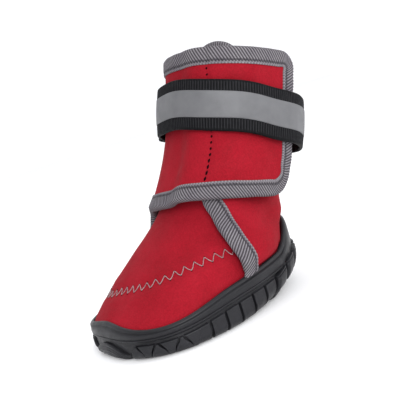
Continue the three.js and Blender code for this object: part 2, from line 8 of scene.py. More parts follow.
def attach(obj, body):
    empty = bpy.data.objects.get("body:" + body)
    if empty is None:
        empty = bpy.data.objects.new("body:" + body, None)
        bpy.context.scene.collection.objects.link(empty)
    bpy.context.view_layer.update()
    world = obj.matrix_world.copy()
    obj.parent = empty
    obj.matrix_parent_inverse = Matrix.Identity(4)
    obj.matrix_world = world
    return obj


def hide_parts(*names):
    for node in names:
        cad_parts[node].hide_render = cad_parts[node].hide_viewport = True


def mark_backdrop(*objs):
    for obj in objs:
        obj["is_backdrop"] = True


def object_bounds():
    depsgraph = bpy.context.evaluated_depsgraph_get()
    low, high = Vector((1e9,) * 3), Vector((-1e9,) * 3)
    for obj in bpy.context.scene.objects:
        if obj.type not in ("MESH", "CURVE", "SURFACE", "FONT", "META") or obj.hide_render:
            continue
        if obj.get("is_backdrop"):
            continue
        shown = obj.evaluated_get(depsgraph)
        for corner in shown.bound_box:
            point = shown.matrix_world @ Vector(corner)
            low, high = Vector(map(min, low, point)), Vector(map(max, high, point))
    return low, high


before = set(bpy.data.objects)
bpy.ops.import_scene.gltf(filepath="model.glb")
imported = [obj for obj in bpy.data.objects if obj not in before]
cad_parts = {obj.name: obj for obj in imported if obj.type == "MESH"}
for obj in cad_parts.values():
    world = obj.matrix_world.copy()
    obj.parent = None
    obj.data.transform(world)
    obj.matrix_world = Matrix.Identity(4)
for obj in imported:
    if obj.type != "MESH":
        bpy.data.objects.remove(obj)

size_at_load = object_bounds()
draws = np.random.default_rng(7)

MM = 0.001

# The upper and its edge tape.
CLOTH = 2.0  # neoprene wall
TAPE = 0.75  # how far the edge tape's outer face stands off the cloth
TAPE_WIDTH = 6.0  # how far the tape reaches in from the edge
STITCH_INSET = 1.5  # the tape's stitch line, in from its selvedge
RIB_PITCH = 1.25
THROAT_TOP = 0.85  # the throat edges run straight up from this level
HEM = 0.015  # level where the throat edges meet the side band
SUNK_HEM = -0.06  # level of the cloth's lower edge inside the cup
FAR_HEM_FORWARD = 15  # degrees that the far hem sinks nearer to its throat than the near one
START = 34  # angle of the near throat edge at the collar
FLAP_END = 360 + 123  # the flap's end, past the near side toward the heel
STRAIGHT = 170  # the panel's columns lean with the near throat up to this angle
CORNER = 6.6  # radius of the panel's outer corners
CORNER_ROOM = 14  # degrees that hold a rounded corner
MM_PER_DEGREE = 0.52  # round the shaft, by the panel's ends
MM_PER_LEVEL = 96  # up the shaft
MM_PER_LOW_LEVEL = 50  # up the boot at the flap's lower corner
MM_PER_TOE_LEVEL = 75  # up the toe piece
VAMP_TOP = 0.56  # level where the toe piece ends and the tongue begins
TONGUE_ANGLE = 40  # half the tongue's width, in degrees round the last
TONGUE_SHOULDER = 0.99  # level where the tongue's top starts to round
TONGUE_ARCH = 0.085  # how much higher its middle is

# The strap.
STRAP_WIDTH = 20
STRAP = 1.3  # webbing thickness
STRAP_LEVEL = 0.735  # middle of the strap
STRAP_TILT = 0.036  # how much higher its middle lies at the front, and lower at the back

# The sole.
GAP = 0.3  # clearance between separate pieces
BAND = 2.4  # rubber side band, thickness outside the upper
TREAD = 3.2  # depth of the lugs
FLOOR = 5.6  # top of the cup sole's floor
INSOLE = 3.0
INSOLE_EDGE = -3.8  # the insole's edge, in from the sole line
BETWEEN_LUGS = 1.5  # depth of the furrows between the edge lugs
GROOVE_SHARE = 0.62  # height of the side band's groove as a share of the sole line's
TOE_INSET = 1.6  # the tread's ground edge, in from the sole line, at the toe
TOE_CURL = 3.4  # height where the tread turns vertical at the toe
HEEL_INSET = 17  # how much more they are at the heel
HEEL_CURL = 11.5
SOLE_MIDDLE = -6.5  # y of the sole line's middle
SOLE_HALF = 43  # half the sole line's length
HEEL_RISE = 8.7  # the sole line climbs this much more over the back of the heel
TOE_DIP = 2.0  # the sole line dips this much on each side of the toe bumper

# Sections of the last: level, front y and z, back y and z, half width, side, square, egg.
LAST = [
    (-0.06, -48.8, 8.9, 36.0, 13.8, 32.4, 0, 2.5, 0.14),
    (0.0, -49.6, 12.6, 36.5, 19.8, 33.0, 0, 2.5, 0.14),
    (0.1, -43.0, 17.8, 39.8, 29.6, 31.4, 0, 2.4, 0.12),
    (0.22, -32.8, 26.0, 41.5, 35.8, 28.2, 0, 2.3, 0.08),
    (0.34, -21.0, 34.8, 42.5, 40.6, 25.6, 0, 2.2, 0.0),
    (0.46, -7.6, 46.0, 43.2, 45.0, 24.6, 0, 2.2, 0.0),
    (0.58, 5.0, 64.0, 46.8, 51.6, 23.8, 0.4, 2.2, 0.0),
    (0.78, 12.9, 84.4, 54.6, 69.6, 22.9, 0.8, 2.2, 0.0),
    (1.0, 19.6, 103.2, 62.0, 88.2, 22.2, 1.0, 2.2, 0.0),
]
# Throat edge: level, angle from the toe.
THROAT = [(0, 97), (0.145, 85.5), (0.275, 74), (0.385, 61), (0.47, 46), (0.6, 37), (THROAT_TOP, START)]
# The flap's lower edge: angle, level.
FLAP_EDGE = [(310, 0.44), (327, 0.45), (358, 0.462), (400, 0.46), (447, 0.43), (FLAP_END, 0.345)]
# The flap's stand off the last: angle, low down, high up.
FLAP_STANDS = [
    (300, 1.9, 1.3), (370, 2.0, 1.5), (388, 5.6, 4.2), (400, 6.3, 4.5), (420, 6.1, 4.0),
    (436, 4.8, 3.6), (455, 3.9, 3.3), (470, 3.6, 3.6), (FLAP_END, 4.0, 4.4),
]
# The strap's stand off the last: angle, stand.
STRAP_STANDS = [
    (-84, 2.0), (-45, 5.0), (0, 6.2), (30, 7.9), (60, 7.9), (95, 7.4), (130, 8.2), (150, 8.4),
    (185, 4.0), (220, 2.0), (260, 2.0), (275, 4.0), (306, 7.6),
]
# The zigzag seam over the toe: angle, level.
ZIGZAG = [
    (-92, 0.10), (-60, 0.105), (-25, 0.135), (-7, 0.165), (24, 0.19), (42, 0.2), (58, 0.2),
    (73, 0.185), (86, 0.155),
]
# Soft troughs and swells of the worn cloth: angle, level, half width in degrees, half height in
# levels, and millimetres off the plain surface.
PANEL_CREASES = [
    (374, 0.60, 10, 0.07, -0.25), (412, 0.58, 26, 0.03, -0.3), (440, 0.60, 12, 0.05, 0.35),
    (384, 0.925, 20, 0.04, -0.45), (440, 0.90, 18, 0.05, 0.4), (462, 0.60, 9, 0.08, -0.3),
    (120, 0.22, 14, 0.05, -0.35), (108, 0.33, 14, 0.06, 0.3), (150, 0.36, 16, 0.05, -0.4),
    (205, 0.40, 22, 0.03, -0.7), (200, 0.55, 30, 0.03, 0.6), (230, 0.30, 20, 0.05, 0.5),
    (165, 0.62, 20, 0.025, -0.6), (250, 0.62, 16, 0.05, -0.5),
]
TOE_CREASES = [
    (-20, 0.44, 30, 0.05, -0.5), (30, 0.36, 22, 0.05, 0.5), (45, 0.27, 18, 0.04, -0.45),
    (-45, 0.30, 20, 0.05, 0.4), (0, 0.07, 26, 0.04, 0.4),
]


# ---------------------------------------------------------------- the last and the panel
def smooth(a, b, x):
    """A soft step from 0 at a to 1 at b."""
    t = np.clip((x - a) / (b - a), 0, 1)
    return t * t * (3 - 2 * t)


def along(rows, x):
    """Cubic Hermite curves through a table's columns by its first, straight beyond its ends."""
    table = np.asarray(rows, float)
    keys, values = table[:, 0], table[:, 1:]
    last = len(keys) - 1
    before = np.maximum(np.arange(last + 1) - 1, 0)
    after = np.minimum(np.arange(last + 1) + 1, last)
    slopes = (values[after] - values[before]) / (keys[after] - keys[before])[:, None]
    x = np.asarray(x, float)[..., None]
    i = np.clip(np.searchsorted(keys, x[..., 0], side="left") - 1, 0, last - 1)
    width = (keys[i + 1] - keys[i])[..., None]
    t = (x - keys[i][..., None]) / width
    inside = (
        values[i] * (2 * t**3 - 3 * t**2 + 1)
        + slopes[i] * width * (t**3 - 2 * t**2 + t)
        + values[i + 1] * (3 * t**2 - 2 * t**3)
        + slopes[i + 1] * width * (t**3 - t**2)
    )
    below = values[0] + slopes[0] * (x - keys[0])
    above = values[last] + slopes[last] * (x - keys[last])
    return np.where(x < keys[0], below, np.where(x > keys[last], above, inside))


def column(rows, x):
    return along(rows, x)[..., 0]


def last_point(angle, level):
    """A point on the last: angle in degrees from the toe, level from the feather edge to the collar."""
    angle, level = np.broadcast_arrays(np.asarray(angle, float), np.asarray(level, float))
    front_y, front_z, back_y, back_z, half, side, square, egg = np.moveaxis(along(LAST, level), -1, 0)
    sine, cosine = np.sin(np.radians(angle)), np.cos(np.radians(angle))
    reach = (np.abs(sine) ** square + np.abs(cosine) ** square) ** (-1 / square)
    x, to_toe = reach * sine, reach * cosine
    back = (1 - to_toe) / 2
    dip = TOE_DIP * smooth(0.1, 0.9, to_toe) * np.abs(sine) ** 1.5 * 2
    waver = (HEEL_RISE * smooth(0.55, 1, -to_toe) - dip) * (1 - smooth(0, 0.15, level))
    return np.stack([
        side + half * x * (1 + egg * to_toe),
        front_y + (back_y - front_y) * back,
        front_z + (back_z - front_z) * back + waver,
    ], -1)


def unit(v):
    return v / np.maximum(np.linalg.norm(v, axis=-1, keepdims=True), 1e-12)


def last_normal(angle, level):
    around = last_point(angle + 0.5, level) - last_point(angle - 0.5, level)
    up = last_point(angle, level + 0.004) - last_point(angle, level - 0.004)
    return unit(np.cross(around, up))


def off_last(angle, level, out):
    angle, level, out = np.broadcast_arrays(*(np.asarray(v, float) for v in (angle, level, out)))
    return last_point(angle, level) + last_normal(angle, level) * out[..., None]


def throat_angle(level):
    return column(THROAT, np.minimum(level, THROAT_TOP))


DENSE_LEVELS = np.linspace(0, THROAT_TOP, 400)
DENSE_THROAT = throat_angle(DENSE_LEVELS)


def throat_level(angle):
    return np.interp(-angle, -DENSE_THROAT, DENSE_LEVELS)


def round_end(degrees, per_level):
    """How many levels a rounded corner takes off, this many degrees in from the panel's end."""
    inside = np.maximum(CORNER - degrees * MM_PER_DEGREE, 0)
    taken = CORNER - np.sqrt(np.maximum(0, CORNER**2 - inside**2))
    return np.where(inside > 0, taken / per_level, 0)


def panel_angle(col, level):
    """The panel's columns run from START to FLAP_END; the first ones follow the near throat."""
    shift = throat_angle(np.maximum(level, HEM)) - START
    return col + shift * (1 - smooth(START, STRAIGHT, col))


def hem(behind):
    """The panel's lower edge, by the degrees behind its throat, where it sinks into the cup."""
    return HEM - (HEM - SUNK_HEM) * smooth(33, 38, behind)


def panel_bottom(col):
    """Level of the panel's lower edge: the hem, the far throat edge and the flap's lower edge."""
    near = float(throat_angle(HEM))
    far = 360 - near
    col = np.asarray(col, float)
    flap = column(FLAP_EDGE, np.maximum(col, FLAP_EDGE[0][0]))
    sharpness = 45
    inner = flap - np.log1p(np.exp((flap - throat_level(360 - col)) * sharpness)) / sharpness
    over = np.where(col > 360 - START, flap + round_end(FLAP_END - col, MM_PER_LOW_LEVEL), inner)
    near_hem = hem(panel_angle(col, HEM) - near)
    far_hem = hem(far - col + FAR_HEM_FORWARD)
    return np.where(col < 180, near_hem, np.where(col < far, far_hem, over))


def panel_top(col):
    return 1 - round_end(FLAP_END - col, MM_PER_LEVEL) - round_end(col - START, MM_PER_LEVEL)


def seam_angle(level):
    """The dotted seam down the flap."""
    return 406 - 4.5 * smooth(0.5, 0.95, level)


def dents(rows, angle, level):
    total = np.zeros(np.broadcast(angle, level).shape)
    for at, height, wide, tall, depth in rows:
        total = total + depth * np.exp(-(((angle - at) / wide) ** 2) - ((level - height) / tall) ** 2)
    return total


def crease(angle, level):
    """The panel's creases, the press of the strap and the pull of the dotted seam, in millimetres."""
    pressed = np.exp(-(((level - strap_level(angle)) / 0.12) ** 4))
    beside = angle - seam_angle(level)
    trough = np.exp(-((beside / 1.5) ** 2))
    swell = np.exp(-(((beside - 4.5) / 3.5) ** 2))
    seam = (trough - 0.7 * swell) * smooth(0.5, 0.53, level)
    return dents(PANEL_CREASES, angle, level) - 0.25 * pressed - 0.45 * seam


def panel_stand(angle, level):
    """How far the panel's inner face stands off the last: over the toe piece by the throats, sunk to
    bring the outer face onto the last behind them, and off again under the flap."""
    near = 1 - smooth(13, 42, angle - throat_angle(level))
    near_stand = 2.2 - 3.4 * smooth(0.52, 0.68, level)
    quarter = near * near_stand - CLOTH * (1 - near)
    far = smooth(-26, -13, angle - 360 + np.maximum(throat_angle(level), 48))
    high = smooth(0.54, 0.7, level)
    stands = along(FLAP_STANDS, np.maximum(angle, FLAP_STANDS[0][0]))
    low, top = stands[..., 0], stands[..., 1]
    flap = far * (low + (top - low) * high) - CLOTH * (1 - far)
    return np.where(angle < 180, quarter, flap) + crease(angle, level)


def on_panel(angle, level, out):
    """A point this far out from the panel's inner face. The side band presses its lower edge in."""
    angle, level = np.broadcast_arrays(np.asarray(angle, float), np.asarray(level, float))
    stand = panel_stand(angle, level)
    pressed = 1 - 0.55 * (1 - smooth(-0.01, 0.07, level)) * smooth(-CLOTH, -0.5, stand)
    return off_last(angle, level, (stand + out) * pressed)


def toe_crease(angle, level):
    """The toe piece's creases, and the groove that the zigzag seam is pulled into."""
    beside = (level - column(ZIGZAG, angle)) * MM_PER_TOE_LEVEL
    groove = np.exp(-((beside / 1.7) ** 2))
    swells = np.exp(-(((np.abs(beside) - 3.4) / 1.5) ** 2))
    return dents(TOE_CREASES, angle, level) - 0.4 * groove + 0.15 * swells


def on_toe(angle, level, out):
    return off_last(angle, level, toe_crease(angle, level) + out)


def on_tongue(angle, level, out):
    """A point off the last, leaned back so that the tongue clears the flap in front of it."""
    back = unit(last_point(180, level) - last_point(0, level))
    lean = 1.2 * smooth(VAMP_TOP, VAMP_TOP + 0.03, level) + 25 * np.maximum(0, level - VAMP_TOP)
    return off_last(angle, level, out) + back * lean[..., None]


# ---------------------------------------------------------------- meshes
def new_object(name, points, faces, materials, groove=None, face_material=None, flat=False):
    """A mesh from points in millimetres. groove is how raised each point is in its weave; the twill and
    webbing paint it as light on the ribs and shade in the furrows.
    """
    mesh = bpy.data.meshes.new(name)
    mesh.from_pydata((np.asarray(points).reshape(-1, 3) * MM).tolist(), [], faces)
    for material in materials:
        mesh.materials.append(material)
    if groove is not None:
        attribute = mesh.attributes.new("groove", "FLOAT", "POINT")
        attribute.data.foreach_set("value", np.ravel(groove).astype(np.float32))
    if face_material is not None:
        mesh.polygons.foreach_set("material_index", np.asarray(face_material, np.int32))
    mesh.polygons.foreach_set("use_smooth", np.full(len(mesh.polygons), not flat))
    mesh.validate()
    mesh.update()
    obj = bpy.data.objects.new(name, mesh)
    bpy.context.scene.collection.objects.link(obj)
    return obj


def ring_faces(rings, count):
    """Quads over rings of count points, each ring closed."""
    i, j = np.meshgrid(np.arange(rings - 1), np.arange(count), indexing="ij")
    k = (j + 1) % count
    quads = np.stack([i * count + j, i * count + k, (i + 1) * count + k, (i + 1) * count + j], -1)
    return quads.reshape(-1, 4)


def flat_caps(rings, count):
    """Ends of a flattened tube: the two sides of the first and of the last ring are joined."""
    faces = []
    for start, flip in ((0, True), ((rings - 1) * count, False)):
        for j in range(count // 2 - 1):
            quad = [start + j, start + j + 1, start + count - 2 - j, start + count - 1 - j]
            faces.append(quad[::-1] if flip else quad)
    return faces


def fan_caps(rings, count, total):
    """Ends closed by fans to two extra points, the first at index total."""
    faces = []
    for j in range(count):
        k = (j + 1) % count
        faces.append([k, j, total])
        faces.append([(rings - 1) * count + j, (rings - 1) * count + k, total + 1])
    return faces


def outward(points, faces):
    """The faces, turned round if they close a skin that is inside out."""
    points = np.asarray(points).reshape(-1, 3)
    volume = 0.0
    for face in faces:
        for b, c in zip(face[1:-1], face[2:]):
            volume += np.dot(points[face[0]], np.cross(points[b], points[c]))
    return faces if volume > 0 else [list(face[::-1]) for face in faces]


def closed_skin(rings):
    """Points and faces of a skin round rings (n, m, 3), closed to the middle of its end rings."""
    n, m = rings.shape[:2]
    points = np.concatenate([rings.reshape(-1, 3), [rings[0].mean(0)], [rings[-1].mean(0)]])
    return points, outward(points, ring_faces(n, m).tolist() + fan_caps(n, m, n * m))


def join(parts):
    """Several (points, faces) as one."""
    points, faces, base = [], [], 0
    for part_points, part_faces in parts:
        points.append(part_points)
        faces += [[v + base for v in face] for face in part_faces]
        base += len(part_points)
    return np.concatenate(points), faces


def flat_tube(name, rings, materials, groove=None, inner=None):
    """A skin round rings (n, m, 3). inner marks each ring's points that lie on the lining side."""
    n, m = rings.shape[:2]
    faces = outward(rings, ring_faces(n, m).tolist() + flat_caps(n, m))
    marks = None
    if inner is not None:
        inside = np.tile(inner, n)
        marks = [int(all(inside[v] for v in face)) for face in faces]
    return new_object(name, rings, faces, materials, groove, marks)


def finish_piece(obj, slot, *nodes):
    """Ride the one body and stand for the CAD nodes named. The slot is not used."""
    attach(obj, "root")
    if nodes:
        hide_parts(*nodes)


def tubes(name, paths, radius, materials, sides=6):
    """Round threads along paths (n, 3), all in one object, with closed ends."""
    turn = np.linspace(0, 2 * np.pi, sides, endpoint=False)
    parts = []
    for path in paths:
        tangent = unit(np.gradient(path, axis=0))
        steep = np.abs(tangent[:, 2:3]) > 0.9
        across = unit(np.cross(tangent, np.where(steep, [[1.0, 0, 0]], [[0, 0, 1.0]])))
        third = np.cross(tangent, across)
        ring = across[:, None] * np.cos(turn)[None, :, None] + third[:, None] * np.sin(turn)[None, :, None]
        size = np.full(len(path), radius)
        size[[0, -1]] = radius * 0.35
        first_cap = list(range(sides))[::-1]
        last_cap = [(len(path) - 1) * sides + k for k in range(sides)]
        points = (path[:, None] + ring * size[:, None, None]).reshape(-1, 3)
        parts.append((points, ring_faces(len(path), sides).tolist() + [first_cap, last_cap]))
    return new_object(name, *join(parts), materials)


def resample(path, step, columns):
    """Even steps along a line of points: its other columns there, and the length gone."""
    gone = np.concatenate([[0], np.cumsum(np.linalg.norm(np.diff(path, axis=0), axis=1))])
    count = max(2, int(round(gone[-1] / step)) + 1)
    at = np.linspace(0, gone[-1], count)
    return np.stack([np.interp(at, gone, columns[:, k]) for k in range(columns.shape[1])], -1), at


# ---------------------------------------------------------------- materials
def material(name, colour, roughness, metallic=0.0, sheen=0.0, specular=0.4):
    """A principled material. A colour or roughness that varies is linked over these plain values."""
    made = bpy.data.materials.new(name)
    made.use_nodes = True
    shader = made.node_tree.nodes["Principled BSDF"]
    shader.inputs["Base Color"].default_value = (*colour, 1)
    shader.inputs["Roughness"].default_value = roughness
    shader.inputs["Metallic"].default_value = metallic
    shader.inputs["Specular IOR Level"].default_value = specular
    shader.inputs["Sheen Weight"].default_value = sheen
    return made, made.node_tree, shader


def node(tree, kind, **values):
    made = tree.nodes.new(kind)
    for name, value in values.items():
        if hasattr(made, name):
            setattr(made, name, value)
        else:
            made.inputs[name.replace("_", " ")].default_value = value
    return made


def noise(tree, scale, detail=3.0):
    where = node(tree, "ShaderNodeTexCoord")
    made = node(tree, "ShaderNodeTexNoise", Scale=scale, Detail=detail, Roughness=0.55)
    tree.links.new(where.outputs["Object"], made.inputs["Vector"])
    return made.outputs["Fac"]


def cells(tree, scale):
    where = node(tree, "ShaderNodeTexCoord")
    made = node(tree, "ShaderNodeTexVoronoi", Scale=scale)
    tree.links.new(where.outputs["Object"], made.inputs["Vector"])
    return made.outputs["Distance"]


# The weave's height, from which the twill and webbing paint light on the ribs and shade in the furrows.
def painted_shading_value(tree):
    made = node(tree, "ShaderNodeAttribute", attribute_name="groove")
    return made.outputs["Fac"]


def ramp(tree, value, stops):
    """The value's colour through stops of (place, colour)."""
    made = node(tree, "ShaderNodeValToRGB")
    elements = made.color_ramp.elements
    while len(elements) < len(stops):
        elements.new(0.5)
    for element, (place, colour) in zip(elements, stops):
        element.position = place
        element.color = (*colour, 1)
    tree.links.new(value, made.inputs["Fac"])
    return made.outputs["Color"]


def multiply(tree, a, b):
    made = node(tree, "ShaderNodeMix", data_type="RGBA", blend_type="MULTIPLY")
    made.inputs["Factor"].default_value = 1.0
    tree.links.new(a, made.inputs[6])
    tree.links.new(b, made.inputs[7])
    return made.outputs[2]


def paint(tree, shader, colour):
    tree.links.new(colour, shader.inputs["Base Color"])


def vary_roughness(tree, shader, low, high, scale, detail=3.0):
    varied = ramp(tree, noise(tree, scale, detail), [(0.3, (low,) * 3), (0.7, (high,) * 3)])
    tree.links.new(varied, shader.inputs["Roughness"])


def bump(tree, shader, heights):
    """Fine relief: (height, distance in mm, strength) one over another."""
    below = None
    for height, distance, strength in heights:
        made = node(tree, "ShaderNodeBump", Strength=strength, Distance=distance * MM)
        tree.links.new(height, made.inputs["Height"])
        if below is not None:
            tree.links.new(below, made.inputs["Normal"])
        below = made.outputs["Normal"]
    tree.links.new(below, shader.inputs["Normal"])


def neoprene():
    """Red knit-faced neoprene: matt, with fine knit cells and faint mottling."""
    made, tree, shader = material("red_neoprene", (0.44, 0.013, 0.027), 0.85, specular=0.1)
    mottled = ramp(tree, noise(tree, 60, 5), [(0.3, (0.261, 0.0052, 0.0128)), (0.7, (0.334, 0.0078, 0.0188))])
    flecks = ramp(tree, noise(tree, 1500, 2), [(0.35, (0.80, 0.78, 0.78)), (0.7, (1.0, 1.0, 1.0))])
    paint(tree, shader, multiply(tree, mottled, flecks))
    vary_roughness(tree, shader, 0.76, 0.9, 200)
    knit, pores, swells = cells(tree, 1500), noise(tree, 500), noise(tree, 70)
    bump(tree, shader, [(knit, 0.12, 0.5), (pores, 0.1, 0.3), (swells, 0.5, 0.15)])
    return made


def lining():
    """The knit inside face: the red knit painted dark, as the shade inside the boot."""
    made, tree, shader = material("lining_painted_shade", (0.09, 0.008, 0.012), 0.92, sheen=0.2, specular=0.2)
    # Painted shade: the red knit of the inside face, darkened.
    knit = [(0.3, (0.055, 0.006, 0.009)), (0.75, (0.13, 0.011, 0.017))]
    paint(tree, shader, ramp(tree, noise(tree, 900, 3), knit))
    bump(tree, shader, [(cells(tree, 1300), 0.15, 0.5), (noise(tree, 120), 0.4, 0.2)])
    return made


def twill():
    """Grey twill tape with loose fibres: its ribs painted lighter and its furrows darker, as light and shade.
    """
    made, tree, shader = material("grey_twill", (0.2, 0.19, 0.2), 0.8, specular=0.1)
    # Painted light and shade: dark in the furrows, light on the rib tops.
    weave = [(0.0, (0.035, 0.032, 0.036)), (0.5, (0.125, 0.115, 0.123)), (1.0, (0.31, 0.295, 0.31))]
    ribs = ramp(tree, painted_shading_value(tree), weave)
    worn = ramp(tree, noise(tree, 120, 5), [(0.3, (0.78, 0.76, 0.8)), (0.7, (1.0, 1.0, 1.0))])
    fibres = ramp(tree, noise(tree, 1700, 2), [(0.3, (0.72, 0.72, 0.74)), (0.7, (1.0, 1.0, 1.0))])
    paint(tree, shader, multiply(tree, multiply(tree, ribs, worn), fibres))
    vary_roughness(tree, shader, 0.68, 0.86, 300)
    bump(tree, shader, [(noise(tree, 1800, 2), 0.1, 0.5), (noise(tree, 150), 0.3, 0.2)])
    return made


def webbing():
    """Black ribbed webbing, its rib tops painted lighter and its furrows darker, as light and shade."""
    made, tree, shader = material("black_webbing", (0.012, 0.012, 0.014), 0.7, specular=0.1)
    # Painted light and shade: dark in the furrows, light on the rib tops.
    weave = [(0.0, (0.001, 0.001, 0.002)), (0.6, (0.006, 0.006, 0.007)), (1.0, (0.028, 0.028, 0.031))]
    ribs = ramp(tree, painted_shading_value(tree), weave)
    dusty = ramp(tree, noise(tree, 200, 5), [(0.35, (0.75, 0.75, 0.78)), (0.75, (1.0, 1.0, 1.0))])
    paint(tree, shader, multiply(tree, ribs, dusty))
    vary_roughness(tree, shader, 0.5, 0.75, 700)
    bump(tree, shader, [(noise(tree, 1600, 2), 0.12, 0.6), (noise(tree, 200), 0.2, 0.2)])
    return made


def reflective():
    """Silver reflective band: fine glass beads over grey, a little scuffed."""
    made, tree, shader = material("silver_band", (0.27, 0.272, 0.29), 0.5, metallic=0.25, specular=0.3)
    scuffed = [(0.3, (0.119, 0.12, 0.126)), (0.7, (0.158, 0.159, 0.166))]
    paint(tree, shader, ramp(tree, noise(tree, 90, 6), scuffed))
    vary_roughness(tree, shader, 0.48, 0.62, 260, 4)
    bump(tree, shader, [(cells(tree, 2600), 0.05, 0.35), (noise(tree, 100), 0.3, 0.2)])
    return made


def rubber():
    """Charcoal moulded rubber: satin, finely grained, with a little dust."""
    made, tree, shader = material("charcoal_rubber", (0.018, 0.018, 0.021), 0.42, specular=0.24)
    dusty = [(0.3, (0.009, 0.009, 0.011)), (0.72, (0.017, 0.017, 0.02))]
    paint(tree, shader, ramp(tree, noise(tree, 70, 6), dusty))
    vary_roughness(tree, shader, 0.36, 0.52, 300, 4)
    bump(tree, shader, [(noise(tree, 2200, 2), 0.05, 0.4), (noise(tree, 160, 4), 0.25, 0.2)])
    return made


def felt():
    """Dark matted felt."""
    made, tree, shader = material("dark_felt", (0.03, 0.03, 0.033), 0.95, sheen=0.3, specular=0.15)
    fibres = [(0.3, (0.018, 0.018, 0.02)), (0.75, (0.05, 0.05, 0.054))]
    paint(tree, shader, ramp(tree, noise(tree, 1200, 4), fibres))
    bump(tree, shader, [(noise(tree, 1400, 3), 0.25, 0.7), (noise(tree, 150), 0.4, 0.3)])
    return made


def thread(name, dark, light, roughness=0.6, sheen=0.1, specular=0.4):
    """Twisted thread; dull and black, it stands for the shade in a needle hole."""
    made, tree, shader = material(name, light, roughness, sheen=sheen, specular=specular)
    paint(tree, shader, ramp(tree, noise(tree, 2500, 2), [(0.35, dark), (0.65, light)]))
    bump(tree, shader, [(noise(tree, 3000, 2), 0.06, 0.5)])
    return made


def pale_paper(name, glow):
    """Plain pale studio paper, a little lit from behind."""
    made, tree, shader = material(name, (0.86, 0.86, 0.87), 0.75, specular=0.2)
    paint(tree, shader, ramp(tree, noise(tree, 6, 2), [(0.3, (0.85, 0.85, 0.86)), (0.7, (0.87, 0.87, 0.88))]))
    shader.inputs["Emission Color"].default_value = (1, 1, 1, 1)
    shader.inputs["Emission Strength"].default_value = glow
    return made


RED = neoprene()
SHADED_LINING = lining()
TWILL = twill()
WEBBING = webbing()
SILVER = reflective()
RUBBER = rubber()
FELT = felt()
DARK_THREAD = thread("dark_thread", (0.016, 0.014, 0.022), (0.045, 0.04, 0.055))
# Dull black thread that paints the shade inside needle holes.
HOLE_SHADE = thread(
    "needle_hole_shade", (0.006, 0.001, 0.002), (0.014, 0.002, 0.004), roughness=0.95, sheen=0.0, specular=0.03
)
PALE_THREAD = thread("pale_thread", (0.15, 0.09, 0.095), (0.38, 0.27, 0.275))


# ---------------------------------------------------------------- upper
def cloth_piece(name, place, columns, rows, *nodes):
    """A sheet of the cloth: out over the rows on its red face, and back on its lining."""
    rings = np.concatenate([place(columns, rows, 1), place(columns, rows[::-1], 0)], 1)
    inner = np.arange(rings.shape[1]) >= len(rows)
    finish_piece(flat_tube(name, rings, [RED, SHADED_LINING], inner=inner), "stretch_cloth", *nodes)


def make_panel():
    """The outer panel, once round the heel and on over the front as the wrap flap."""
    middle = np.arange(START + CORNER_ROOM, FLAP_END - CORNER_ROOM, 1.8)
    bend = CORNER / MM_PER_DEGREE * (1 - np.cos(np.linspace(0, np.pi / 2, 9)))
    cols = np.concatenate([START + bend, middle, (FLAP_END - bend)[::-1]])
    share = np.linspace(0, 1, 72)
    low, high = panel_bottom(cols), panel_top(cols)

    def place(columns, rows, side):
        level = low[:, None] + (high - low)[:, None] * rows[None]
        return on_panel(panel_angle(columns[:, None], level), level, CLOTH * side)

    cloth_piece("flap_panel", place, cols, share, "upper")


def make_toe():
    """The toe and instep piece, tucked under the panel at both throats."""
    across = np.linspace(-1, 1, 190)
    by_zigzag = np.linspace(0.107, 0.22, 26)
    levels = np.concatenate([np.linspace(SUNK_HEM, 0.1, 18), by_zigzag, np.linspace(0.23, VAMP_TOP, 40)])

    def place(columns, rows, side):
        tucked = np.where(columns < 0, 24, 30)[:, None] - 8 * smooth(0.02, 0.3, rows)
        reach = throat_angle(np.maximum(rows, 0)) + tucked
        return on_toe(columns[:, None] * reach, rows[None], CLOTH * (side - 1))

    cloth_piece("toe_piece", place, across, levels)


def make_zigzag():
    """Pale zigzag thread across the toe, and dull black dots at its turns, painted as the shade in its needle
    holes.
    """
    angle = np.linspace(-86, 85, 600)
    level = column(ZIGZAG, angle)
    even, gone = resample(on_toe(angle, level, 0), 0.2, np.stack([angle, level], -1))
    pitch, half = 4.3, 1.55  # the length of a zigzag and half its width
    phase = gone / pitch
    wave = 2 * np.abs(2 * (phase - np.floor(phase + 0.5))) - 1
    wave = np.sign(wave) * np.abs(wave) ** 0.9
    jitter = 1 + 0.08 * np.sin(gone * 1.7) + 0.06 * np.sin(gone * 0.61 + 1)
    steps = edge_frame(even, on_toe)
    path = even + steps * (half * wave * jitter)[:, None]
    line = on_toe(path[:, 0], path[:, 1], 0.12 + 0.1 * np.abs(wave))
    finish_piece(tubes("zigzag_thread", [line], 0.17, [PALE_THREAD]), "stretch_cloth")
    holes = []
    for k in range(1, int(gone[-1] / (pitch / 2))):
        i = int(np.argmin(np.abs(gone - k * pitch / 2)))
        spread = even[i] + steps[i] * (half * np.sign(wave[i]) * np.array([[0.95], [1.1], [1.25]]))
        holes.append(on_toe(spread[:, 0], spread[:, 1], 0.02))
    finish_piece(tubes("zigzag_hole_shade", holes, 0.28, [HOLE_SHADE]), "stretch_cloth")


def make_dots():
    """Dull black dots down the flap's vertical seam, painted as the shade in its needle holes."""
    foot = float(panel_bottom(np.array([404.0]))[0])
    levels = np.linspace(foot, 1.0, 400)
    even, gone = resample(on_panel(seam_angle(levels), levels, CLOTH), 2.5, levels[:, None])
    turns = np.array([-0.2, 0, 0.2])
    ups = np.array([-0.5, 0, 0.5]) / MM_PER_LEVEL
    holes = []
    for level, done in zip(even[:, 0], gone):
        if done < TAPE_WIDTH or gone[-1] - done < TAPE_WIDTH + 0.5:
            continue
        angle = seam_angle(level) + draws.normal(0, 0.15)
        holes.append(on_panel(angle + turns, level + ups, CLOTH + 0.02))
    finish_piece(tubes("flap_seam_hole_shade", holes, 0.52, [HOLE_SHADE]), "stretch_cloth")


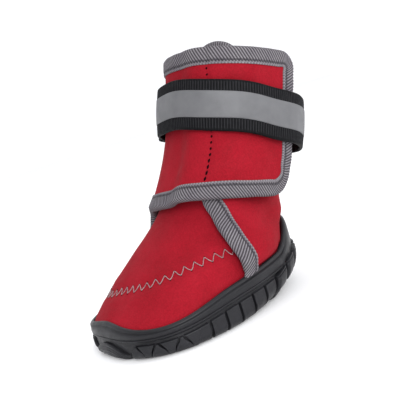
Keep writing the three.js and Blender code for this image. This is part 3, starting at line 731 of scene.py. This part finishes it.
# ---------------------------------------------------------------- edge tape
def edge_frame(outline, on):
    """For rows of (angle, level): the step in angle and level that goes 1 mm in over the cloth."""
    angle, level = outline[:, 0], outline[:, 1]
    points = on(angle, level, 1.0)
    ahead = np.roll(points, -3, 0) - np.roll(points, 3, 0)
    for k in range(3):
        ahead[k] = points[k + 3] - points[0]
        ahead[-1 - k] = points[-1] - points[-4 - k]
    per_degree = on(angle + 0.5, level, 1.0) - on(angle - 0.5, level, 1.0)
    per_level = (on(angle, level + 0.005, 1.0) - on(angle, level - 0.005, 1.0)) * 100
    inward = unit(np.cross(unit(ahead), np.cross(per_degree, per_level)))
    # Solve inward = a * per_degree + b * per_level by least squares.
    dd, ll = np.sum(per_degree * per_degree, -1), np.sum(per_level * per_level, -1)
    dl = np.sum(per_degree * per_level, -1)
    di, li = np.sum(inward * per_degree, -1), np.sum(inward * per_level, -1)
    steps = np.stack([di * ll - li * dl, li * dd - di * dl], -1) / (dd * ll - dl * dl)[:, None]
    # Hold the tape's width where the cloth is bent, and smooth the steps round the corners.
    far_side = on(angle + steps[:, 0] * TAPE_WIDTH, level + steps[:, 1] * TAPE_WIDTH, 1.0)
    width = np.linalg.norm(far_side - points, axis=1)
    steps = steps * np.clip(TAPE_WIDTH / width, 0.7, 1.2)[:, None]
    reach = 21
    kernel = np.hanning(2 * reach + 1)
    kernel /= kernel.sum()
    padded = np.pad(steps, ((reach, reach), (0, 0)), "edge")
    return np.stack([np.convolve(padded[:, k], kernel, "valid") for k in range(2)], -1)


def tape_profile():
    """(across, out) round the tape's section: outer leg, fold and inner leg."""
    middle, radius = CLOTH / 2, CLOTH / 2 + TAPE
    outer = [(TAPE_WIDTH, CLOTH + 0.02), (TAPE_WIDTH, CLOTH + 0.34), (TAPE_WIDTH - 0.25, CLOTH + 0.52)]
    leg = np.arange(TAPE_WIDTH - 0.6, 0.6, -0.36)
    outer += [(a, CLOTH + TAPE - 0.18 * (a / TAPE_WIDTH) ** 3) for a in leg]
    turns = np.linspace(0, math.pi, 13)
    fold = [(0.5 - radius * math.sin(t), middle + radius * math.cos(t)) for t in turns]
    inner = [(a, -TAPE) for a in np.arange(1.1, TAPE_WIDTH - 0.3, 0.7)]
    inner += [(TAPE_WIDTH - 0.15, -0.55), (TAPE_WIDTH - 0.1, -0.02)]
    return np.array(outer + fold + inner)


def tape_relief(gone, across, out):
    """How raised the weave is, painted as light on the ribs and shade in its furrows and stitch line, and how
    far it lifts the tape: slanting ribs, a sunk stitch line, a checked selvedge and a few soft swells."""
    round_way = np.concatenate([[0], np.cumsum(np.hypot(np.diff(across), np.diff(out)))])
    slant = 0.62
    ribs = 0.5 + 0.5 * np.cos(2 * np.pi * ((gone[:, None] + slant * round_way[None]) / RIB_PITCH))
    on_top = out > CLOTH
    stitched = np.exp(-(((across - (TAPE_WIDTH - STITCH_INSET)) / 0.35) ** 2)) * on_top
    selvedge = smooth(TAPE_WIDTH - 0.9, TAPE_WIDTH - 0.45, across) * on_top
    checks = 0.5 + 0.5 * np.cos(2 * np.pi * gone / RIB_PITCH)
    weave = ribs * (1 - selvedge)[None] + selvedge[None] * (0.35 + 0.65 * checks[:, None])
    puffy = 0.09 * np.sin(gone * 0.31) + 0.07 * np.sin(gone * 0.83 + 2)
    by_fold = 1 - smooth(3, 6, across)
    lift = 0.2 * (weave - 0.5) - 0.26 * stitched[None] + puffy[:, None] * by_fold[None]
    # Painted light and shade: the rib tops lighter, the furrows and the sunk stitch line darker.
    painted_weave_shading = np.clip(weave * (1 - 0.75 * stitched)[None] + 0.12 * selvedge[None], 0, 1)
    return painted_weave_shading, lift


def tape_stitches(name, even, steps, gone, on):
    """Dark running stitches along the tape's stitch line."""
    spacing, length = 3.0, 1.7
    rise = CLOTH + TAPE - 0.28 + 0.12 * np.sin(np.linspace(0, np.pi, 5))
    line = even + steps * (TAPE_WIDTH - STITCH_INSET)
    stitches = []
    for k in range(int(gone[-1] / spacing)):
        here = np.linspace(k * spacing, k * spacing + length, 5)
        stitches.append(on(np.interp(here, gone, line[:, 0]), np.interp(here, gone, line[:, 1]), rise))
    finish_piece(tubes(name, stitches, 0.17, [DARK_THREAD]), "edge_tape")


def make_tape(name, outline, on, node_name):
    """Twill tape folded over an edge, and its stitches."""
    even, gone = resample(on(outline[:, 0], outline[:, 1], 1.0), 0.3, outline)
    steps = edge_frame(even, on)
    across, out = tape_profile().T
    painted_weave_shading, lift = tape_relief(gone, across, out)
    angle = even[:, 0:1] + steps[:, 0:1] * across[None]
    level = even[:, 1:2] + steps[:, 1:2] * across[None]
    rings = on(angle, level, np.where(out > CLOTH / 2, out + lift, out - lift))
    finish_piece(flat_tube(name, rings, [TWILL], groove=painted_weave_shading), "edge_tape", node_name)
    tape_stitches(name + "_stitches", even, steps, gone, on)


def panel_outline():
    """(angle, level) along the panel's edge: near throat, collar, flap end, lower edge, far throat."""
    def points(cols, levels):
        return np.stack([panel_angle(cols, levels), levels], -1)

    foot_level = -0.03
    bend = CORNER / MM_PER_DEGREE * (1 - np.cos(np.linspace(0, np.pi / 2, 60)))
    middle = np.arange(START + 13, FLAP_END - 13, 0.5)
    top_cols = np.concatenate([START + bend, middle, (FLAP_END - bend)[::-1]])
    low_cols = np.concatenate([FLAP_END - bend, np.arange(FLAP_END - 13, 258, -0.1)])
    low_levels = panel_bottom(low_cols)
    above_hem = low_levels > HEM + 0.001
    low_cols, low_levels = low_cols[above_hem], low_levels[above_hem]
    near_top = float(panel_top(np.array([START]))[0])
    end_top, end_low = (float(f(np.array([FLAP_END]))[0]) for f in (panel_top, panel_bottom))
    near = np.linspace(foot_level, near_top, 400)[:-1]
    end = np.linspace(end_top, end_low, 300)[1:-1]
    foot = np.linspace(low_levels[-1], foot_level, 12)[1:]
    return np.concatenate([
        points(np.full(len(near), START), near),
        points(top_cols, panel_top(top_cols)),
        points(np.full(len(end), FLAP_END), end),
        points(low_cols, low_levels),
        points(np.full(len(foot), low_cols[-1]), foot),
    ])


def make_edge_tape():
    """The tape round the whole free edge of the panel."""
    make_tape("edge_tape", panel_outline(), on_panel, "edge_binding")


# ---------------------------------------------------------------- tongue
def tongue_top(across):
    return TONGUE_SHOULDER + TONGUE_ARCH * np.sqrt(np.maximum(0, 1 - across**2))


def make_tongue():
    """The toe piece's cloth carried on up under the flap, with a rounded top."""
    across = -np.cos(np.linspace(0, np.pi, 60))
    share = np.linspace(0, 1, 50)
    low, top = VAMP_TOP + 0.006, tongue_top(across)

    def place(columns, rows, side):
        level = low + (top - low)[:, None] * rows[None]
        return on_tongue(TONGUE_ANGLE * columns[:, None], level, CLOTH * (side - 1))

    cloth_piece("tongue_pad", place, across, share, "tongue")


def make_tongue_tape():
    """The tape over the tongue's rounded top."""
    across = -np.cos(np.linspace(0, np.pi, 400))

    def on(angle, level, out):
        return on_tongue(angle, level, out - CLOTH)

    outline = np.stack([TONGUE_ANGLE * across, tongue_top(across)], -1)
    make_tape("tongue_tape", outline, on, "tongue_binding")


# ---------------------------------------------------------------- strap
STRAP_FIRST, STRAP_LAST = STRAP_STANDS[0][0], STRAP_STANDS[-1][0]
HALF_STRAP = STRAP_WIDTH / 2


def strap_level(angle):
    return STRAP_LEVEL + STRAP_TILT * np.cos(np.radians(angle))


def strap_point(angle, across, out):
    """across is in millimetres up from the strap's middle line, out from its inner face."""
    stand = column(STRAP_STANDS, angle)
    wavy = 0.25 * np.sin(angle * 0.11) + 0.15 * np.sin(angle * 0.047 + 1)
    bow = -0.35 * (across / HALF_STRAP) ** 2
    return off_last(angle, strap_level(angle) + (across + wavy) / MM_PER_LEVEL, stand + bow + out)


def strap_run():
    """Angles in even steps along the strap, and the length gone."""
    dense = np.linspace(STRAP_FIRST, STRAP_LAST, 2000)
    middle = strap_point(dense, np.zeros(2000), np.full(2000, STRAP / 2))
    even, gone = resample(middle, 0.27, dense[:, None])
    return even[:, 0], gone


def make_webbing(angle, gone):
    """The webbing with its cross ribs, thinner and smoother along its woven edges."""
    edge = np.array([-HALF_STRAP, -HALF_STRAP + 0.12, -HALF_STRAP + 0.5])
    across = np.concatenate([edge, np.linspace(-HALF_STRAP + 1.2, HALF_STRAP - 1.2, 15), -edge[::-1]])
    from_middle = np.abs(across)
    body = np.where(from_middle < HALF_STRAP - 0.8, 1.0, 0.35)[None]
    rounded = np.where(from_middle > HALF_STRAP - 0.3, 0.2, 0.0)
    rounded = np.where(from_middle > HALF_STRAP - 0.05, 0.5, rounded)[None] * STRAP
    ribs = (0.5 + 0.5 * np.cos(2 * np.pi * gone / 1.15))[:, None]
    relief = (ribs - 0.6) * body
    outer = strap_point(angle[:, None], across[None], STRAP - rounded + 0.24 * relief)
    inner = strap_point(angle[:, None], across[None], rounded * 0.8 - 0.15 * relief)[:, ::-1]
    # Painted light and shade: the rib tops lighter and the furrows darker.
    painted_weave_shading = np.clip(ribs * body + 0.25 * (1 - body), 0, 1)
    rings, painted_weave_shadings = np.concatenate([outer, inner], 1), np.concatenate([painted_weave_shading, painted_weave_shading[:, ::-1]], 1)
    finish_piece(flat_tube("strap_webbing", rings, [WEBBING], groove=painted_weave_shadings), "webbing", "strap")


def make_reflective_band(angle):
    """The band laminated along the webbing's middle, a little proud of its ribs."""
    keep = angle[(angle > STRAP_FIRST + 30) & (angle < STRAP_LAST - 3)][::3, None]
    edge = np.array([(-5.1, 0.02), (-5.0, 0.24), (-4.6, 0.3), (-3.2, 0.31), (-1.6, 0.31)])
    across = np.concatenate([edge[:, 0], [0], -edge[::-1, 0]])
    proud = STRAP + np.concatenate([edge[:, 1], [0.31], edge[::-1, 1]])
    top = strap_point(keep, across[None], proud[None])
    base = strap_point(keep, across[None, ::-1], np.full((1, len(across)), STRAP - 0.3))
    band = flat_tube("reflective_band", np.concatenate([top, base], 1), [SILVER])
    finish_piece(band, "webbing")


def make_strap_fibres():
    """Cut fibres that stand from the strap's free end."""
    fibres = []
    for across in np.linspace(-HALF_STRAP + 0.3, HALF_STRAP - 0.3, 60):
        length = 2.0 * draws.uniform(0.6, 1.8)
        wander = draws.normal(0, 0.35, 4) * np.linspace(0, 1, 4)
        out = STRAP * draws.uniform(0.3, 1.0) + np.linspace(0, 0.4, 4)
        fibres.append(strap_point(STRAP_LAST - np.linspace(-1.2, length, 4), across + wander, out))
    finish_piece(tubes("strap_end_fibres", fibres, 0.14, [WEBBING], sides=5), "webbing")


def make_strap_stitches():
    """Two rows of dark stitches across the folded end."""
    stitches = []
    for angle in (STRAP_LAST - 4, STRAP_LAST - 12):
        for start in np.arange(-HALF_STRAP + 1.2, HALF_STRAP - 1.8, 2.2):
            across = np.linspace(start, start + 1.4, 4)
            over_band = 0.3 * (np.abs(across) < 5.2)
            stitches.append(strap_point(np.full(4, float(angle)), across, STRAP + 0.1 + over_band))
    finish_piece(tubes("strap_stitches", stitches, 0.16, [DARK_THREAD]), "webbing")


def make_strap():
    angle, gone = strap_run()
    make_webbing(angle, gone)
    make_reflective_band(angle)
    make_strap_fibres()
    make_strap_stitches()


# ---------------------------------------------------------------- sole
def beside_sole(angle, out, z):
    """A point level with z, this far outside the sole line."""
    angle, out, z = np.broadcast_arrays(*(np.asarray(v, float) for v in (angle, out, z)))
    here = last_point(angle, 0.0)
    ahead = last_point(angle + 1, 0.0) - last_point(angle - 1, 0.0)
    away = unit(np.stack([ahead[..., 1], -ahead[..., 0], np.zeros(angle.shape)], -1))
    point = here + away * out[..., None]
    point[..., 2] = z
    return point


def sole_line(angle):
    return last_point(angle, 0.0)[..., 2]


def rocker(angle):
    """How far in and how high the tread curls up to the side band, more and more to the heel."""
    to_toe = (last_point(angle, 0.0)[..., 1] - SOLE_MIDDLE) / -SOLE_HALF
    curl = smooth(-0.18, 1, -to_toe)
    return TOE_INSET + HEEL_INSET * curl, TOE_CURL + HEEL_CURL * curl


def base_height(angle, out):
    """Height of the cup's underside between the lugs."""
    inset, height = rocker(angle)
    reach = np.clip((out + inset + 0.6) / (inset + BAND - 0.6), 0, 1)
    return TREAD + (height + 2.4 - TREAD) * (1 - np.sqrt(1 - reach**2))


def on_floor(angle, out, up):
    """A point this far up from the cup's floor, which keeps 2 mm of rubber where the tread curls up."""
    floor = np.maximum(FLOOR, base_height(angle, np.full(angle.shape, float(out))) + 2.0)
    return beside_sole(angle, out, floor + up)


def cup_skin():
    """The cup under the lugs: underside, double groove line with a bead, side band, rim and hollow."""
    angle = np.linspace(0, 360, 288, endpoint=False)
    inset, _ = rocker(angle)
    line = sole_line(angle)
    groove = GROOVE_SHARE * line
    rings = []
    for out, z in ((-8, TREAD), (-3, TREAD), (-0.6, TREAD - 0.4)):
        rings.append(beside_sole(angle, out - inset, z))
    for place in (0.06, 0.2, 0.4, 0.6, 0.8, 1.0, 1.25, 1.5, 1.75, 1.9):
        rings.append(lug_point(angle, np.full(angle.shape, place), BETWEEN_LUGS))
    # The two grooves and the bead between them: out from the band's face, up from the groove line.
    for out, up in (
        (-1.3, -0.5), (-1.35, -0.1), (-1.2, 0.2), (-0.45, 0.32), (-0.2, 0.5), (-0.1, 0.75),
        (-0.2, 1.0), (-0.6, 1.15), (-0.65, 1.3), (-0.2, 1.45), (0, 1.75),
    ):
        rings.append(beside_sole(angle, BAND + out, groove + up))
    # The band's face and rim: out, share of the way from the groove to the sole line, and up.
    from_toe = (angle + 180) % 360 - 180
    bumper = 0.036 * np.exp(-((from_toe / 24) ** 2))
    raised = last_point(angle, bumper) - last_point(angle, 0.0)
    for out, share, up in (
        (0.1, 0.55, 0), (0.08, 0.8, 0), (0, 1, -1.6), (-0.12, 1, -0.9), (-0.4, 1, -0.35),
        (-0.85, 1, -0.03), (-1.3, 1, 0.06), (-1.7, 1, 0.0), (GAP + 0.15 - BAND, 1, -0.25),
    ):
        height = groove + (line - groove) * share + up
        rings.append(beside_sole(angle, BAND + out, height) + raised * share)
    rings.append(off_last(angle, bumper - 0.012, GAP))
    for level in (-0.03, SUNK_HEM):
        rings.append(off_last(angle, level, GAP))
    for out, up in ((-0.6, 0.2), (INSOLE_EDGE, 0), (-8, 0), (-16, 0)):
        rings.append(on_floor(angle, out, up))
    return closed_skin(np.stack(rings))


# Lugs round the edge, from the toe to the heel: kind, count, pitch, gap, and stations up the
# profile. -1 is inboard on the ground, 0 the ground's edge, 1 the rocker's top, 2 the groove.
EDGE_LUGS = [
    ("toe", 1, 29, 1.4, [(-1, 1.95)]),
    ("chevron", 3, 9.6, 1.0, [(-0.7, 1.9)]),
    ("pad", 6, 7.2, 1.2, [(-0.8, 1.95)]),
    ("heel", 5, 9.6, 2.1, [(0.04, 0.5), (0.6, 1.1), (1.3, 1.95)]),
]
WEDGE_SPAN = (0.1, 1.95)  # the wedges between the chevrons
WEDGE_GAP = 1.5  # in degrees, at both ends of a wedge
# How far a lug's face drops at its last few rows, outermost first: its rounded edge.
LUG_EDGE = [2.3, 0.75, 0.28, 0.06]


def lug_point(angle, place, sunk):
    """A point on the lugs' outer skin, or sunk this far into the cup."""
    inset, height = rocker(angle)
    turn = np.clip(place, 0, 1) * np.pi / 2
    flat_out = -inset + 8 * np.minimum(place, 0)
    curve_out = (inset + BAND + 0.4) * np.sin(turn) - inset
    band_foot = np.maximum(height + 1, GROOVE_SHARE * sole_line(angle) - 0.9)
    rim = height + (band_foot - height) * (place - 1)
    out = np.where(place <= 0, flat_out, curve_out)
    z = np.where(place <= 0, 0.0, np.where(place <= 1, height * (1 - np.cos(turn)), rim))
    lean = np.where(place <= 0, 0.0, np.where(place <= 1, np.sin(turn), 1.0))
    return beside_sole(angle, out - sunk * lean, z + sunk * np.sqrt(1 - lean**2))


def edge_angle(distance):
    """The angle that lies this many millimetres from the toe along the side band."""
    fine = np.linspace(0, 180, 721)
    line = beside_sole(fine, BAND, 0.0)
    gone = np.concatenate([[0], np.cumsum(np.linalg.norm(np.diff(line, axis=0), axis=1))])
    return float(np.interp(distance, gone, fine))


def lug_mesh(kind, first, last, start, stop):
    """A closed block with rounded edges; toe lugs carry cross ridges and pads a shallow hollow."""
    columns = max(8, int(abs(last - first) * 1.2))
    stations = max(8, int((stop - start) * 16))
    u = np.concatenate([[0, 0, 0.006, 0.03], np.linspace(0.07, 0.93, columns), [0.97, 0.994, 1, 1]])
    v = np.concatenate([[0, 0, 0.008, 0.035], np.linspace(0.08, 0.92, stations), [0.965, 0.992, 1, 1]])
    drop_u = np.concatenate([LUG_EDGE, np.zeros(columns), LUG_EDGE[::-1]])
    drop_v = np.concatenate([LUG_EDGE, np.zeros(stations), LUG_EDGE[::-1]])
    uu, vv = np.meshgrid(u, v, indexing="ij")
    sunk = np.maximum(drop_u[:, None], drop_v[None])
    middle = np.clip(np.minimum(uu, 1 - uu) * 9, 0, 1) * np.clip(np.minimum(vv, 1 - vv) * 9, 0, 1)
    reach = 1.0
    if kind == "toe":
        reach = 1 - 0.5 * (2 * np.abs(uu - 0.5)) ** 2
        ridges = 0.5 + 0.5 * np.cos(vv * 2 * np.pi * 9)
        off_ground = smooth(-0.2, 0.2, start + (stop - start) * vv)
        sunk = sunk + 0.4 * middle * ridges * off_ground - 0.35 * middle
    elif kind == "pad":
        sunk = sunk + 0.3 * middle * smooth(0.25, 0.45, vv)
    elif kind == "heel":
        sunk = sunk - 0.7 * middle
    elif kind == "chevron":
        uu = 0.5 + (uu - 0.5) * (1 - 0.88 * smooth(0.3, 1.0, vv))
    elif kind == "wedge":
        uu = 0.5 + (uu - 0.5) * (0.1 + 0.9 * vv)
    place = start + (stop - start) * vv * reach
    angle = first + (last - first) * uu
    skin = lug_point(angle, place, sunk)
    rows, cols = skin.shape[:2]
    i, j = np.meshgrid(np.arange(rows - 1), np.arange(cols - 1), indexing="ij")
    quads = np.stack([i * cols + j, (i + 1) * cols + j, (i + 1) * cols + j + 1, i * cols + j + 1], -1)
    return skin.reshape(-1, 3), quads.reshape(-1, 4).tolist()


def lug_spans():
    """Kind, first and last angle, and first and last station of each lug, on both sides."""
    place = -EDGE_LUGS[0][2] / 2
    for kind, count, pitch, gap, spans in EDGE_LUGS:
        for _ in range(count):
            first = -edge_angle(pitch / 2 - gap / 2) if kind == "toe" else edge_angle(place + gap / 2)
            last = edge_angle(place + pitch - gap / 2)
            place += pitch
            if last <= first + 2:
                continue
            if kind == "chevron":
                start = edge_angle(place - pitch / 2) + WEDGE_GAP
                stop = edge_angle(place + pitch / 2) - WEDGE_GAP
                yield "wedge", start, stop, *WEDGE_SPAN
                yield "wedge", -stop, -start, *WEDGE_SPAN
            across_middle = kind == "toe" or last >= 180
            for a, b in [(first, last)] if across_middle else [(first, last), (-last, -first)]:
                for span in spans:
                    yield kind, a, b, *span


def make_cup_sole():
    """The cup with its lugs round the edge."""
    points, faces = join([cup_skin()] + [lug_mesh(*span) for span in lug_spans()])
    finish_piece(new_object("cup_sole", points, faces, [RUBBER]), "sole_rubber", "outsole")


def make_sole_bars():
    """V bars under the middle of the sole."""
    near, far, length, slant = -0.4, 15.5, 5.6, 4.0
    block = [[3, 2, 1, 0], [4, 5, 6, 7], [0, 1, 5, 4], [1, 2, 6, 5], [2, 3, 7, 6], [3, 0, 4, 7]]
    parts = []
    for y in (-29, -19, -9, 1, 11):
        outline = [(near, y - slant), (far, y), (far, y + length), (near, y + length - slant)]
        for side in (-1, 1):
            points = [(side * x, bar_y, z) for z in (0, TREAD + 0.8) for x, bar_y in outline]
            parts.append((np.array(points, float), block if side > 0 else [f[::-1] for f in block]))
    bars = new_object("sole_bars", *join(parts), [RUBBER], flat=True)
    bevel = bars.modifiers.new("edge", "BEVEL")
    bevel.width = 0.4 * MM
    bevel.segments = 2
    finish_piece(bars, "sole_rubber")


def make_insole():
    """The felt insole, with soft edges, on the cup's floor."""
    angle = np.linspace(0, 360, 180, endpoint=False)
    low, high = GAP, GAP + INSOLE
    stations = [
        (-16, low), (-8, low), (INSOLE_EDGE - 0.4, low), (INSOLE_EDGE, low + 0.5), (INSOLE_EDGE, high - 0.8),
        (INSOLE_EDGE - 0.3, high - 0.25), (INSOLE_EDGE - 1, high), (-8, high), (-12, high), (-16, high),
    ]
    rings = [on_floor(angle, out, up) for out, up in stations]
    insole = new_object("felt_insole", *closed_skin(np.stack(rings)), [FELT])
    finish_piece(insole, "insole_felt", "insole")


# ---------------------------------------------------------------- camera, light and floor
def make_camera():
    """Low over the floor, on the near side toward the toe, and rolled."""
    azimuth, elevation, roll = (math.radians(d) for d in (60.96, 7.82, 17.85))
    distance = 0.35
    middle = Vector((0, 0, 0.05))
    flat_back = Vector((math.sin(azimuth), -math.cos(azimuth), 0))
    back = flat_back * math.cos(elevation) + Vector((0, 0, math.sin(elevation)))
    level_right = Vector((math.cos(azimuth), math.sin(azimuth), 0))
    level_up = back.cross(level_right)
    right = level_right * math.cos(roll) - level_up * math.sin(roll)
    up = level_right * math.sin(roll) + level_up * math.cos(roll)
    data = bpy.data.cameras.new("camera")
    data.sensor_width = 36
    data.lens = 76.2
    data.shift_x = 0.049
    data.shift_y = -0.0135
    data.clip_start = 0.01
    data.clip_end = 50
    camera = bpy.data.objects.new("camera", data)
    turn = Matrix((right, up, back)).transposed()
    camera.matrix_world = Matrix.Translation(middle + back * distance) @ turn.to_4x4()
    bpy.context.scene.collection.objects.link(camera)
    bpy.context.scene.camera = camera


def make_light(name, place, energy, size):
    data = bpy.data.lights.new(name, "AREA")
    data.energy = energy
    data.size = size
    light = bpy.data.objects.new(name, data)
    light.location = place
    aim = Vector((0, 0, 0.05)) - Vector(place)
    light.rotation_euler = aim.to_track_quat("-Z", "Y").to_euler()
    bpy.context.scene.collection.objects.link(light)


def make_stage():
    """A flat floor that meets a wide bowl of the same pale paper."""
    half, foot, bend = 1600, 1500, 2500
    corners = [(-half, -half, 0), (half, -half, 0), (half, half, 0), (-half, half, 0)]
    floor = new_object("floor", corners, [[0, 1, 2, 3]], [pale_paper("pale_floor", 0.17)], flat=True)
    turn = np.linspace(0, 2 * np.pi, 128, endpoint=False)
    rise = np.linspace(0, 1.5, 30)[:, None]
    radius = foot + bend * np.sin(rise)
    height = np.broadcast_to(bend * (1 - np.cos(rise)), (len(rise), len(turn)))
    rings = np.stack([radius * np.cos(turn), radius * np.sin(turn), height], -1)
    faces = ring_faces(*height.shape).tolist()
    backdrop = new_object("backdrop", rings, faces, [pale_paper("lit_backdrop", 0.24)])
    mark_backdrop(floor, backdrop)


def make_lighting():
    """Bright even surroundings, with a soft key from the near side, a fill and a top light."""
    world = bpy.context.scene.world or bpy.data.worlds.new("world")
    bpy.context.scene.world = world
    world.use_nodes = True
    surroundings = world.node_tree.nodes["Background"]
    surroundings.inputs["Color"].default_value = (0.97, 0.98, 1.0, 1)
    surroundings.inputs["Strength"].default_value = 0.85
    bpy.context.scene.view_settings.view_transform = "Standard"
    make_light("key", (0.85, -0.3, 0.5), 6, 0.5)
    make_light("fill", (0.5, 0.6, 0.5), 2, 0.6)
    make_light("top", (-0.2, 0.2, 1.0), 2.5, 0.7)


make_camera()
make_stage()
make_lighting()
make_panel()
make_toe()
make_zigzag()
make_dots()
make_edge_tape()
make_tongue()
make_tongue_tape()
make_strap()
make_cup_sole()
make_sole_bars()
make_insole()

size_at_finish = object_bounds()
corners = {"at_load": size_at_load, "at_finish": size_at_finish}
{name: [[float(v) for v in corner] for corner in pair] for name, pair in corners.items()}
